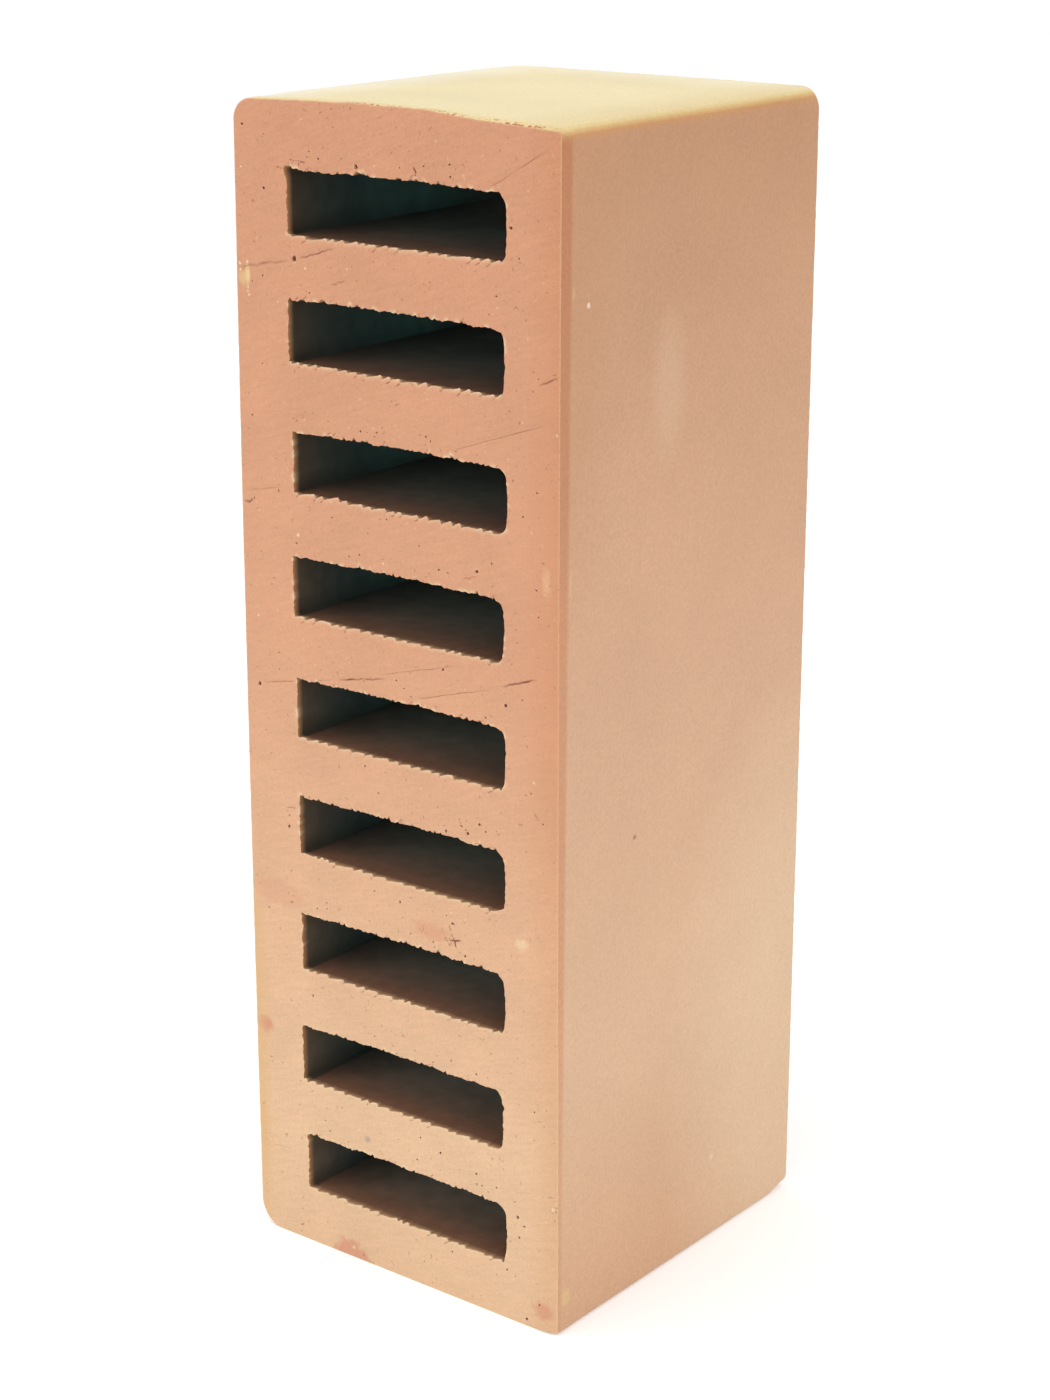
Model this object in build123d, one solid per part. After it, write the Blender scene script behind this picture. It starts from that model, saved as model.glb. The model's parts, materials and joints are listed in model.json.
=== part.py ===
from build123d import *
import os

# A perforated clay brick, stood up on one header end, in millimetres.
# X runs across the bed face, from the hidden stretcher to the one in view.
# Y runs through the brick from bed to bed, the way the wire-cut slots run.
# Z is the brick's length, with the origin in the middle of the lower header.

# The block as it was fired
LENGTH = 250.0
WIDTH = 83.6
HEIGHT = 87.6

# The clay column leaves the die with its four long edges rounded, each a little differently
FACE_UPPER_RADIUS = 4.0
FACE_LOWER_RADIUS = 1.4
REAR_UPPER_RADIUS = 5.5
REAR_LOWER_RADIUS = 5.5

# The upper header bulges at the front bed, and is straight at the back bed
HEADER_CROWN = 1.2

# The row of slots, all the way through from bed to bed
SLOT_COUNT = 9
SLOT_LENGTH = 55.5
SLOT_OPENING = 13.2
FACE_WALL = 13.6
HEADER_WALL = 13.0

# The core that forms a slot is nearly square at its rear end and rounder at its face end
SLOT_FACE_RADIUS = 2.2
SLOT_REAR_RADIUS = 0.8

HALF_WIDTH = WIDTH / 2
FRONT_BED = -HEIGHT / 2
BACK_BED = HEIGHT / 2

# The block's corners in a bed plane, as X and Z, and the radius of the long edge at each
REAR_TOP = (-HALF_WIDTH, LENGTH)
REAR_FOOT = (-HALF_WIDTH, 0)
FACE_FOOT = (HALF_WIDTH, 0)
FACE_TOP = (HALF_WIDTH, LENGTH)
LONG_EDGES = {
    REAR_TOP: REAR_UPPER_RADIUS,
    REAR_FOOT: REAR_LOWER_RADIUS,
    FACE_FOOT: FACE_LOWER_RADIUS,
    FACE_TOP: FACE_UPPER_RADIUS,
}


def bed_outline(bed, crown):
    """The block's square-cornered outline in one bed plane, with the upper end bowed up by the crown."""
    with BuildSketch(Plane.XZ.offset(-bed)) as outline:
        with BuildLine():
            Polyline(REAR_TOP, REAR_FOOT, FACE_FOOT, FACE_TOP)
            if crown > 0:
                ThreePointArc(FACE_TOP, (0, LENGTH + crown), REAR_TOP)
            else:
                Line(FACE_TOP, REAR_TOP)
        make_face()
    return outline.sketch


def block():
    """The solid block, ruled from the crowned bed to the straight one, with its long edges rounded."""
    shape = loft([bed_outline(FRONT_BED, HEADER_CROWN), bed_outline(BACK_BED, 0)], ruled=True)
    for (x, z), radius in LONG_EDGES.items():
        edge = shape.edges().sort_by_distance((x, 0, z))[0]
        shape = fillet(edge, radius)
    return shape


def slot_outline():
    """The cross-section of one slot, centred on its own middle."""
    outline = Rectangle(SLOT_LENGTH, SLOT_OPENING)
    outline = fillet(outline.vertices().group_by(Axis.X)[-1], SLOT_FACE_RADIUS)
    return fillet(outline.vertices().group_by(Axis.X)[0], SLOT_REAR_RADIUS)


def slot_row():
    """All the slots, evenly spaced between the two header walls and cut through both beds."""
    middle = HALF_WIDTH - FACE_WALL - SLOT_LENGTH / 2
    lowest = HEADER_WALL + SLOT_OPENING / 2
    highest = LENGTH - HEADER_WALL - SLOT_OPENING / 2
    pitch = (highest - lowest) / (SLOT_COUNT - 1)
    places = [Pos(middle, lowest + pitch * number) for number in range(SLOT_COUNT)]
    outlines = Sketch() + [place * slot_outline() for place in places]
    return extrude(Plane.XZ * outlines, HEIGHT, both=True)


def brick():
    """The brick as it is: the rounded block with its row of slots."""
    return block() - slot_row()


os.makedirs("parts", exist_ok=True)
export_step(brick(), "parts/brick.step")
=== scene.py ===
# %% [markdown]
# # A perforated clay brick, stood on one end
#
# A brick like this starts as a column of stiff clay, pushed through a steel die. Rods in the
# die leave nine slots along the middle, and a stretched wire cuts the column into bricks.
# So it has two kinds of surface: four sides skinned smooth by the die, and two beds torn
# open by the wire. The lesson is to give each its own finish, and to let the ragged
# rims of the slots be real shape and not paint.
#
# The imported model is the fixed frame. Everything below takes its sizes from it.

import json
import math
import random

import bpy
from mathutils import Matrix, Vector, kdtree, noise
from mathutils.geometry import delaunay_2d_cdt


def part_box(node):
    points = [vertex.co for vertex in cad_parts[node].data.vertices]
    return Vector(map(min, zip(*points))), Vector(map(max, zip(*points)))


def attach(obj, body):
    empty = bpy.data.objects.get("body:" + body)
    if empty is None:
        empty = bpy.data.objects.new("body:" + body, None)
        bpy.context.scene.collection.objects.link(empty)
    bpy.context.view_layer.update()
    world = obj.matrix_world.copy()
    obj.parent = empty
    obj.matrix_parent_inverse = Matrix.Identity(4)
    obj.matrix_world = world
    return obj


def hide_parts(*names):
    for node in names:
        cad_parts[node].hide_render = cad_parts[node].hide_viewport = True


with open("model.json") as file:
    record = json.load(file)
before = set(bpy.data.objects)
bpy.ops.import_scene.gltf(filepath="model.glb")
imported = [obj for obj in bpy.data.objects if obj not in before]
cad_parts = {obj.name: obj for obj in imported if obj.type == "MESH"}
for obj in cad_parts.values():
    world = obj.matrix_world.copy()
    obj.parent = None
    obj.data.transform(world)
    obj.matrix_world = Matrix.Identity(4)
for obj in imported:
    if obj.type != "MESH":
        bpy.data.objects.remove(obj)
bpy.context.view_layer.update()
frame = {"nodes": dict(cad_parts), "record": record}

# %% [markdown]
# ## Sizes
#
# Blender works in metres, but a brickmaker thinks in millimetres, so the shapes are worked
# out in millimetres and scaled once, when the mesh is made. The model gives the
# overall size, and its vertices on the front bed give each slot's exact rectangle.

# %% Read the brick's own sizes from the model
MM = 0.001
NODE = "brick"

low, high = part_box(NODE)
HALF_WIDTH = high.x / MM
FRONT = low.y / MM
BACK = high.y / MM
DEPTH = BACK - FRONT

cad_points = [vertex.co / MM for vertex in frame["nodes"][NODE].data.vertices]
front_points = [point for point in cad_points if abs(point.y - FRONT) < 0.01]
LENGTH = max(point.z for point in cad_points if abs(point.y - BACK) < 0.01)
CROWN = high.z / MM - LENGTH


def slot_rectangle(opening):
    """The slot's own left, right, lower and upper edge, from the model's vertices round a stated opening."""
    margin = 2.0
    (x0, _, z0), (x1, _, z1) = [[c / MM for c in corner] for corner in opening["box_m"]]
    near = [p for p in front_points if x0 - margin < p.x < x1 + margin and z0 - margin < p.z < z1 + margin]
    return min(p.x for p in near), max(p.x for p in near), min(p.z for p in near), max(p.z for p in near)


SLOTS = [slot_rectangle(opening) for opening in frame["record"]["physics"]["openings"]]
SLOT_PITCH = (SLOTS[-1][2] - SLOTS[0][2]) / (len(SLOTS) - 1)
print("length", round(LENGTH, 2), "crown", round(CROWN, 2), "slots", len(SLOTS), "at", round(SLOT_PITCH, 2))
print("lowest slot:", [round(edge, 2) for edge in SLOTS[0]])

# %% [markdown]
# ## The camera
#
# The camera comes first, because every later choice is judged through it. A long lens from
# a little above keeps the uprights nearly upright, as in a catalogue picture. The
# position is worked out from a turn round the brick, a height angle and a distance.

# %% Place the camera
LENS_MM = 75.39
SENSOR_MM = 36.0
CAMERA_TURN = math.radians(38.06)
CAMERA_RISE = math.radians(17.83)
CAMERA_ROLL = math.radians(0.05)
CAMERA_DISTANCE = 632.0
AIM = Vector((0.0, 0.0, 125.0))
AIM_RIGHT = 0.67
AIM_UP = 4.08


def make_camera():
    """A camera that looks at the middle of the brick from its front right."""
    back = Vector((math.sin(CAMERA_TURN) * math.cos(CAMERA_RISE),
                   -math.cos(CAMERA_TURN) * math.cos(CAMERA_RISE),
                   math.sin(CAMERA_RISE)))
    level = Vector((math.cos(CAMERA_TURN), math.sin(CAMERA_TURN), 0.0))
    upright = back.cross(level)
    right = level * math.cos(CAMERA_ROLL) + upright * math.sin(CAMERA_ROLL)
    up = back.cross(right)
    place = AIM - right * AIM_RIGHT - up * AIM_UP + back * CAMERA_DISTANCE
    data = bpy.data.cameras.new("catalogue_camera")
    data.sensor_width = SENSOR_MM
    data.lens = LENS_MM
    data.clip_start = 0.05
    camera = bpy.data.objects.new("catalogue_camera", data)
    camera.matrix_world = Matrix.Translation(place * MM) @ Matrix((right, up, back)).transposed().to_4x4()
    bpy.context.scene.collection.objects.link(camera)
    bpy.context.scene.camera = camera
    return camera


camera = make_camera()
print("camera at", [round(c, 3) for c in camera.location])

# %% [markdown]
# ## Small helpers for clay
#
# Torn clay is uneven at several scales at once. Blender's own noise gives the same value for
# the same place every time, so a shape built on it comes out alike on every run.
# Where single marks are scattered, a seeded random generator does the same.

# %% Noise and easing in millimetres


def lumps(x, y, z, size):
    """Smooth noise from about -1 to 1, whose lumps are about size millimetres across."""
    return noise.noise(Vector((x, y, z)) / size)


def ease(low_edge, high_edge, value):
    """0 below the low edge and 1 above the high edge, with a soft turn between."""
    share = min(max((value - low_edge) / (high_edge - low_edge), 0.0), 1.0)
    return share * share * (3.0 - 2.0 * share)


print("a lump of 5 mm:", round(lumps(1.0, 2.0, 3.0, 5.0), 3), "a third of the way:", round(ease(0.0, 3.0, 1.0), 3))

# %% [markdown]
# ## The outline of the section
#
# The die gives the column four rounded long edges, each worn a little differently. They
# also change from bed to bed: the wire drags clay into the front corners and leaves them
# nearly square, and it breaks the foot's far corner away. So each edge has three
# radii: at the front bed, along the block, and at the back bed.

# %% Walk round a rounded rectangle
FACE_LOWER_RADII = (0.6, 1.4, 3.4)
FACE_UPPER_RADII = (0.8, 4.0, 4.4)
REAR_UPPER_RADII = (4.2, 4.8, 4.8)
REAR_LOWER_RADII = (6.0, 6.0, 6.0)
CORNER_ZONE = 8.0
CORNER_TURNS = 10
OUTLINE_STEP = 0.95


def rounded_loop(left, right, bottom, top, radii, step, turns):
    """A rounded rectangle as (x, z, outward x, outward z), anticlockwise from the lower right corner.
    The radii are those of the lower right, upper right, upper left and lower left corner.
    The number of points doesn't depend on the radii, so loops at several depths can be joined."""
    corners = [(right, bottom, -1, 1), (right, top, -1, -1), (left, top, 1, -1), (left, bottom, 1, 1)]
    arcs = []
    for number, ((x, z, inward_x, inward_z), radius) in enumerate(zip(corners, radii)):
        arc = []
        for turn in range(turns + 1):
            angle = math.radians(90 * number - 90) + math.pi / 2 * turn / turns
            out_x, out_z = math.cos(angle), math.sin(angle)
            arc.append((x + inward_x * radius + radius * out_x, z + inward_z * radius + radius * out_z, out_x, out_z))
        arcs.append(arc)
    loop = []
    for number, arc in enumerate(arcs):
        loop += arc
        start_x, start_z, out_x, out_z = arc[-1]
        end_x, end_z = arcs[(number + 1) % 4][0][:2]
        pieces = round((top - bottom if number % 2 == 0 else right - left) / step)
        for piece in range(1, pieces):
            share = piece / pieces
            loop.append((start_x + (end_x - start_x) * share, start_z + (end_z - start_z) * share, out_x, out_z))
    return loop


def radius_at(depth, radii):
    """A long edge's radius at a depth behind the front bed."""
    at_front, along, at_back = radii
    share_front = 1.0 - ease(0.0, CORNER_ZONE, depth)
    share_back = 1.0 - ease(0.0, CORNER_ZONE, DEPTH - depth)
    return along + (at_front - along) * share_front + (at_back - along) * share_back


def outline_at(depth):
    """The clean section at a depth behind the front bed."""
    edges = (FACE_LOWER_RADII, FACE_UPPER_RADII, REAR_UPPER_RADII, REAR_LOWER_RADII)
    return rounded_loop(-HALF_WIDTH, HALF_WIDTH, 0.0, LENGTH, [radius_at(depth, radii) for radii in edges],
                        OUTLINE_STEP, CORNER_TURNS)


print("points round the section:", len(outline_at(0.0)))

# %% [markdown]
# The skin isn't quite flat either. Wet clay is handled, stacked and dried: the hidden
# stretcher leans in by a millimetre towards the head, and each side has slow waves
# of under a tenth. The foot's near corner and the head's far one are worn by half a millimetre.
# The wire leaves its own trace: the arris, the sharp edge between skin and bed, is
# nibbled, and along the crowned header it is dragged down on both sides of the crown.

# %% Shape of the skin at any depth
SKIN_INSET = 0.04
SKIN_WAVE = 0.03
REAR_LEAN = 0.85
REAR_LEAN_START = 85.0
BACK_LIFT = 0.3
REAR_LIFT = 0.22
FOOT_WEAR = 0.6
FOOT_WEAR_REACH = 8.0
HEAD_WEAR = 0.45
HEAD_WEAR_REACH = 14.0
HEAD_DRAG = 0.7
HEAD_DRAG_REACH = 3.0
# The drag grows from the first X to the second. Towards the hidden stretcher it is half as strong.
DRAG_TO_FACE = (8.0, 22.0)
DRAG_TO_REAR = (-8.0, -14.0)
HEAD_CLEARANCE = 0.05
HEAD_ZONE = 6.0
FOOT_ZONE = 4.0
ARRIS_NIBBLE = 0.14
ARRIS_NIBBLE_DEPTH = 1.2
CRUMB_NIBBLE = 0.45
CRUMB_NIBBLE_DEPTH = 0.9
# Where crumbs broke off the header's front arris, as X and reach.
CRUMBS = [(-4.0, 9.0), (13.0, 6.0), (31.0, 11.0)]
ARRIS_SET_BACK = 0.5
ARRIS_PROUD = 0.10


def skin_ring(depth):
    """The outline as shaped clay at a depth behind the front bed: (x, z) points, millimetres."""
    share = depth / DEPTH
    from_arris = min(depth, DEPTH - depth)
    ring = []
    for x, z, out_x, out_z in outline_at(depth):
        lift = CROWN * (1.0 - (x / HALF_WIDTH) ** 2) * (1.0 - share)
        lift += BACK_LIFT * share * ease(-HALF_WIDTH, HALF_WIDTH, x) + REAR_LIFT * (1.0 - share) * ease(5.0, -25.0, x)
        across = max(0.0, 1.0 - (HALF_WIDTH + x) / HEAD_WEAR_REACH) ** 2
        lift -= HEAD_WEAR * across * max(0.0, 1.0 - (DEPTH - depth) / HEAD_WEAR_REACH) ** 2
        lift -= HEAD_DRAG * math.exp(-depth / HEAD_DRAG_REACH) * (ease(*DRAG_TO_FACE, x) + 0.5 * ease(*DRAG_TO_REAR, x))
        lift = min(lift, CROWN - HEAD_CLEARANCE) * ease(LENGTH - HEAD_ZONE, LENGTH, z)
        across = max(0.0, 1.0 - (HALF_WIDTH - x) / FOOT_WEAR_REACH) ** 2
        behind = max(0.0, 1.0 - depth / FOOT_WEAR_REACH) ** 2
        lift += FOOT_WEAR * across * behind * (1.0 - ease(0.0, FOOT_ZONE, z))
        lean = REAR_LEAN * ((z - REAR_LEAN_START) / (LENGTH - REAR_LEAN_START)) ** 2 * ease(0.0, -HALF_WIDTH, x)
        wave = SKIN_WAVE * lumps(x, depth + 7.0, z, 28.0)
        fade = 1.0 - ease(0.0, ARRIS_NIBBLE_DEPTH, from_arris)
        nibble = ARRIS_NIBBLE * abs(lumps(x + 50.0, depth, z, 2.2)) * fade
        if out_z > 0.9 and depth < DEPTH / 2:
            for crumb, reach in CRUMBS:
                torn_off = max(0.0, 1.0 - abs(x - crumb) / reach) * abs(lumps(x, 3.0, 0.0, 1.1))
                nibble += CRUMB_NIBBLE * torn_off * (1.0 - ease(0.0, CRUMB_NIBBLE_DEPTH, from_arris))
        inset = (SKIN_INSET - wave + nibble) * (1.0 - max(0.0, -out_z))
        ring.append((x + lean - out_x * inset, z + lift - out_z * inset))
    return ring


def arris_drop(x, z):
    """How far the near arris is set back behind the bed: rounded off at the foot, dragged out higher up."""
    set_back = ARRIS_SET_BACK * (1.0 - ease(15.0, 90.0, z))
    proud = ARRIS_PROUD * ease(90.0, 150.0, z) * (1.0 - ease(190.0, 235.0, z))
    return ease(HALF_WIDTH - 3.0, HALF_WIDTH, x) * (set_back - proud)


print("first skin point:", [round(c, 2) for c in skin_ring(0.0)[0]])

# %% [markdown]
# ## The slots' torn mouths
#
# The wire runs across the bed from lower left to upper right. Where it leaves a web it lifts
# small scales of clay and lays them over the slot's lower rim, with a sharp notch at
# the end of each. Where it enters, the upper rim only crumbles. The rear end of
# a slot keeps a fine comb of teeth, and the face end stays almost smooth.
#
# A displacement map could do this, but it would need a very dense mesh everywhere. It is
# cheaper to walk round each rim in steps of 0.4 mm and move those points alone.

# %% Torn rims, worked out side by side
RIM_STEP = 0.38
RIM_TURNS = 6
SCALE_PITCH = 3.1
SCALE_HEIGHT = 1.0
NOTCH = 0.36
ARCH = 0.40
FACE_BULGE = 0.55
SLOT_UPPER_RADIUS = 2.3
SLOT_REAR_RADIUS = 0.5
# The lower corner's radius at the face end, in the lowest slot and from the middle slots up.
SLOT_LOWER_RADII = (0.8, 1.7)
TEAR_FADE = 0.8
TEAR_DEPTH = 8.0
NICK_DEPTH = 3.0
# Each slot's drift from the even row, lowest slot first, as X and Z.
SLOT_DRIFT = [(0.1, 0.0), (-0.8, -0.5), (-0.2, -0.55), (-0.15, -0.3), (-0.1, -0.35),
              (-0.35, -0.2), (0.45, -0.25), (-0.15, 0.45), (0.35, 0.0)]
# Single nicks in a rim: slot number, X, Z, half-width and depth.
NICKS = [(8, -8.4, 236.9, 1.0, 1.0), (8, 6.6, 237.0, 0.5, 1.0), (8, -27.2, 237.4, 2.2, 1.3),
         (8, -24.6, 237.0, 1.0, 0.6), (7, -17.6, 211.0, 0.6, 0.7), (7, -9.0, 211.2, 0.7, 0.7),
         (4, 5.5, 131.0, 0.8, 0.8), (1, 27.3, 48.5, 1.0, 0.6), (8, -20.0, 223.9, 3.0, 0.5),
         (6, 8.5, 183.9, 0.7, 0.6), (3, 16.0, 104.8, 0.7, 0.7)]


def scale_phase(along, seed):
    """How far along its own clay scale a point is, from 0 at a notch to 1 at the next."""
    uneven = along / SCALE_PITCH + 0.85 * lumps(along, seed, 0.0, 5.0)
    return uneven - math.floor(uneven)


def scale_tallness(along, seed):
    """How far the scales stand into the slot there. Some stretches of a rim hardly have any."""
    return SCALE_HEIGHT * (0.35 + 0.85 * abs(lumps(along, seed + 9.0, 0.0, 6.0)))


def torn(x, z, out_x, out_z, seed):
    """How far the rim is eaten into the clay (positive) or stands into the slot (negative).
    Each noise has its height in front of it, and its lumps' size as its last number."""
    lower = max(0.0, -out_z) ** 2
    upper = max(0.0, out_z) ** 2
    rear = max(0.0, -out_x) ** 2
    face = max(0.0, out_x) ** 2
    scale = NOTCH - (NOTCH + scale_tallness(x, seed)) * scale_phase(x, seed) ** 0.7
    fine = 0.15 * lumps(x, seed + 30.0, 0.0, 0.7)
    tear = max(0.0, lumps(x, seed + 80.0, 0.0, 0.9) - 0.2) * 1.9
    crumbled = 0.40 * lumps(x, seed + 20.0, 0.0, 3.2) + 2.0 * fine + tear
    comb = 0.34 * lumps(z, seed + 40.0, 0.0, 0.8) + 0.28 * lumps(z, seed + 50.0, 0.0, 4.0)
    worn = 0.20 * lumps(z, seed + 60.0, 0.0, 3.0) + 0.14 * lumps(z, seed + 70.0, 0.0, 0.9)
    return lower * (scale + fine) + upper * crumbled + rear * comb + face * worn


def slot_loop(number):
    """The clean mouth of one slot, arched a little at the top and bulged at the face end."""
    left, right, bottom, top = SLOTS[number]
    middle, half = (left + right) / 2, (right - left) / 2
    centre, rise = (bottom + top) / 2, (top - bottom) / 2
    shift_x, shift_z = SLOT_DRIFT[number]
    least, most = SLOT_LOWER_RADII
    lower_radius = min(most, least + 2.4 * number / (len(SLOTS) - 1))
    radii = (lower_radius, SLOT_UPPER_RADIUS, SLOT_REAR_RADIUS, SLOT_REAR_RADIUS)
    loop = []
    for x, z, out_x, out_z in rounded_loop(left, right, bottom, top, radii, RIM_STEP, RIM_TURNS):
        arch = ARCH * (math.cos((x - middle - 3.0) / half * math.pi / 2) - 0.5) * max(0.0, out_z)
        bulge = FACE_BULGE * (0.5 - ((z - centre) / rise) ** 2) * max(0.0, out_x)
        loop.append((x + shift_x + bulge, z + shift_z + arch, out_x, out_z))
    return loop


def slot_seed(number, at_front):
    """A number that makes each mouth's tearing its own."""
    return 11.0 * number + (0.0 if at_front else 137.0)


def slot_ring(number, depth):
    """One slot's outline at a depth behind the front bed, torn near both mouths."""
    from_mouth = min(depth, DEPTH - depth)
    at_front = depth < DEPTH / 2
    tearing = math.exp(-from_mouth / TEAR_FADE) if from_mouth < TEAR_DEPTH else 0.0
    seed = slot_seed(number, at_front)
    ring = []
    for x, z, out_x, out_z in slot_loop(number):
        offset = torn(x, z, out_x, out_z, seed) * tearing
        if at_front and from_mouth < NICK_DEPTH:
            for slot, nick_x, nick_z, width, cut in NICKS:
                if slot == number:
                    away = math.hypot(x - nick_x, z - nick_z)
                    offset += cut * max(0.0, 1.0 - away / width) * (1.0 - from_mouth / NICK_DEPTH)
        ring.append((x + out_x * offset, z + out_z * offset))
    return ring


print("points round a slot:", len(slot_loop(0)))

# %% [markdown]
# ## Heights on the bed
#
# The bed itself is nearly flat. It sits a little inside the model's face, so that the
# scales lifted by the wire can stand up to that face and no further. The lip of a
# lower rim is highest just before its notch.

# %% How far a bed stands out at any point
BED_INSET = 0.16
LIP = 0.15
CRUMBLE_DROP = 0.22
BED_WAVE = 0.05


def bed_plane(at_front, height):
    """The Y of a bed point that stands a height above the bed's own level."""
    return FRONT + BED_INSET - height if at_front else BACK - BED_INSET + height


def bed_height(x, z, at_front):
    """The slow waves that the wire leaves in a bed."""
    return BED_WAVE * lumps(x, 0.0 if at_front else 90.0, z, 14.0)


def rim_height(loop_point, seed):
    """The lip of clay along a lower rim, and the crumbled drop along the others."""
    x, z, _, out_z = loop_point
    lower = max(0.0, -out_z) ** 2
    lip = LIP * (0.2 + 0.8 * scale_phase(x, seed) ** 2)
    return lower * lip - (1.0 - lower) * CRUMBLE_DROP * abs(lumps(x, seed, z, 1.2))


def rim_paleness_and_highlight(loop_point, seed):
    """How pale the torn clay is, from 0 to 1, with a painted highlight: most at the tips of the scales, which catch the
    light.
    """
    x, z, _, out_z = loop_point
    lower = max(0.0, -out_z) ** 2
    tips = 0.35 + 0.65 * scale_phase(x, seed) ** 2 * ease(-0.35, 0.15, lumps(x, seed + 9.0, 0.0, 4.0))
    flakes = 0.75 * ease(0.12, 0.4, lumps(x, seed + 5.0, z, 1.3))
    return lower * tips + (1.0 - lower) * flakes


lips = [rim_height(loop_point, slot_seed(0, True)) for loop_point in slot_loop(0)]
print("the lowest slot's rim stands from", round(min(lips), 2), "to", round(max(lips), 2), "mm off the bed")

# %% [markdown]
# ## Marks on the front bed
#
# A brick gets its marks by hand and by stacking: long scratches from grit under the wire,
# pits where a grain was pulled out, and pale grains of lime or sand. The larger ones
# are placed one by one, in millimetres from the foot's middle, and small ones are
# scattered by a seeded generator, thicker near the upper rims and the face end.

# %% Scratches, pits and grains by place
# Each scratch runs from (x, z) to (x, z) and has a half-width, a depth and a darkness.
SCRATCHES = [
    ((19.5, 234.6), (40.2, 246.6), 0.15, 0.05, 0.65),
    ((-41.2, 216.0), (-26.4, 218.8), 0.40, 0.06, 0.6),
    ((-24.8, 219.2), (-14.4, 222.4), 0.26, 0.10, 1.1),
    ((-15.6, 215.0), (-11.6, 216.2), 0.26, 0.08, 0.9),
    ((12.4, 184.9), (40.2, 194.6), 0.15, 0.05, 0.65),
    ((-41.0, 169.4), (-29.0, 172.0), 0.20, 0.06, 0.45),
    ((-41.0, 167.2), (-38.0, 167.6), 0.45, 0.09, 1.0),
    ((17.4, 160.2), (21.8, 161.6), 0.24, 0.09, 0.6),
    ((-39.0, 128.0), (-16.0, 132.9), 0.20, 0.07, 0.7),
    ((-16.0, 132.9), (-2.6, 135.7), 0.28, 0.10, 1.2),
    ((-5.6, 135.9), (17.2, 142.4), 0.15, 0.05, 0.6),
    ((3.4, 132.4), (26.0, 139.2), 0.16, 0.06, 0.7),
    ((27.0, 139.8), (36.6, 143.2), 0.30, 0.10, 1.2),
    ((-31.4, 101.4), (-27.9, 102.2), 0.26, 0.08, 0.7),
    ((13.4, 86.2), (14.1, 84.2), 0.24, 0.08, 1.0),
    ((14.1, 84.2), (15.4, 81.0), 0.30, 0.12, 1.6),
    ((13.2, 82.3), (16.8, 83.2), 0.32, 0.12, 1.7),
    ((12.2, 83.4), (13.8, 80.9), 0.26, 0.10, 1.2),
    ((13.4, 83.2), (14.2, 81.2), 0.22, 0.10, 1.1),
    ((13.6, 86.4), (15.4, 86.3), 0.26, 0.10, 1.1),
    ((5.4, 83.4), (6.4, 81.9), 0.30, 0.04, 0.35),
    ((6.4, 84.2), (6.8, 82.2), 0.26, 0.04, 0.35),
    ((11.6, 85.2), (12.0, 82.9), 0.26, 0.04, 0.35),
    ((36.4, 201.2), (41.0, 203.4), 0.28, 0.10, 1.1),
    ((-29.8, 237.3), (-27.6, 236.8), 0.20, 0.15, 1.3),
    ((-27.0, 237.8), (-24.2, 238.9), 0.28, 0.20, 1.8),
    ((-24.8, 238.8), (-21.6, 238.7), 0.26, 0.18, 1.5),
    ((-23.7, 239.4), (-23.5, 237.6), 0.26, 0.20, 1.7),
    ((6.8, 237.8), (6.2, 240.2), 0.30, 0.20, 1.8),
    ((28.9, 30.2), (35.0, 30.9), 0.14, 0.03, 0.2),
    ((29.4, 46.0), (34.4, 46.8), 0.14, 0.03, 0.2),
    ((-37.6, 20.4), (-32.2, 20.9), 0.16, 0.04, 0.3),
]
# Each pit is at (x, z) and has a radius and a depth.
PITS = [
    (-25.4, 219.3, 0.75, 0.5), (-8.6, 238.8, 0.50, 0.5), (-33.2, 232.6, 0.40, 0.3), (-38.6, 244.9, 0.35, 0.4),
    (29.8, 230.6, 0.45, 0.4), (21.2, 162.4, 0.45, 0.4), (28.4, 136.2, 0.50, 0.4), (12.4, 140.6, 0.35, 0.3),
    (-38.0, 127.9, 0.55, 0.4), (-30.6, 97.3, 0.45, 0.4), (31.5, 24.6, 0.45, 0.4), (33.2, 23.0, 0.30, 0.3),
    (31.9, 20.0, 0.32, 0.3), (33.9, 1.6, 0.40, 0.3), (14.4, 86.3, 0.35, 0.3), (17.7, 79.9, 0.35, 0.2),
    (0.3, 87.6, 0.35, 0.2), (-8.9, 20.9, 0.35, 0.3), (10.6, 33.0, 0.35, 0.3), (20.4, 31.2, 0.35, 0.3),
    (18.6, 107.0, 0.45, 0.4), (12.9, 106.2, 0.40, 0.4), (21.6, 109.6, 0.40, 0.3),
]
# Each grain is a pale spot at (x, z) with a radius.
GRAINS = [
    (-26.0, 162.2, 0.60), (-39.2, 236.4, 0.35), (-14.3, 2.4, 0.55), (-22.4, 217.6, 0.40), (9.0, 104.9, 0.60),
    (10.3, 104.7, 0.45), (33.0, 87.0, 0.45), (-3.0, 160.0, 0.35), (7.6, 199.4, 0.35), (-12.0, 31.6, 0.40),
    (38.9, 25.9, 0.35), (40.9, 29.4, 0.60), (-40.2, 216.9, 0.45), (-38.1, 217.4, 0.40), (-40.1, 215.6, 0.40),
    (-38.1, 212.2, 0.35), (-38.2, 211.4, 0.30), (-37.9, 210.7, 0.40), (14.1, 88.6, 0.30), (41.0, 192.4, 0.35),
    (-37.8, 143.0, 0.35), (35.6, 121.6, 0.35), (12.0, 93.4, 0.30),
]
SCATTERED_PITS = 130
SCATTERED_GRAINS = 40
PIT_CLEARANCE = 1.4
GRAIN_CLEARANCE = 1.6


def inside_a_slot(x, z, margin):
    """Whether a point is in a slot's mouth, or within the margin of it."""
    for number, (left, right, bottom, top) in enumerate(SLOTS):
        shift_x, shift_z = SLOT_DRIFT[number]
        if (left + shift_x - margin < x < right + shift_x + margin
                and bottom + shift_z - margin < z < top + shift_z + margin):
            return True
    return False


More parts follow.
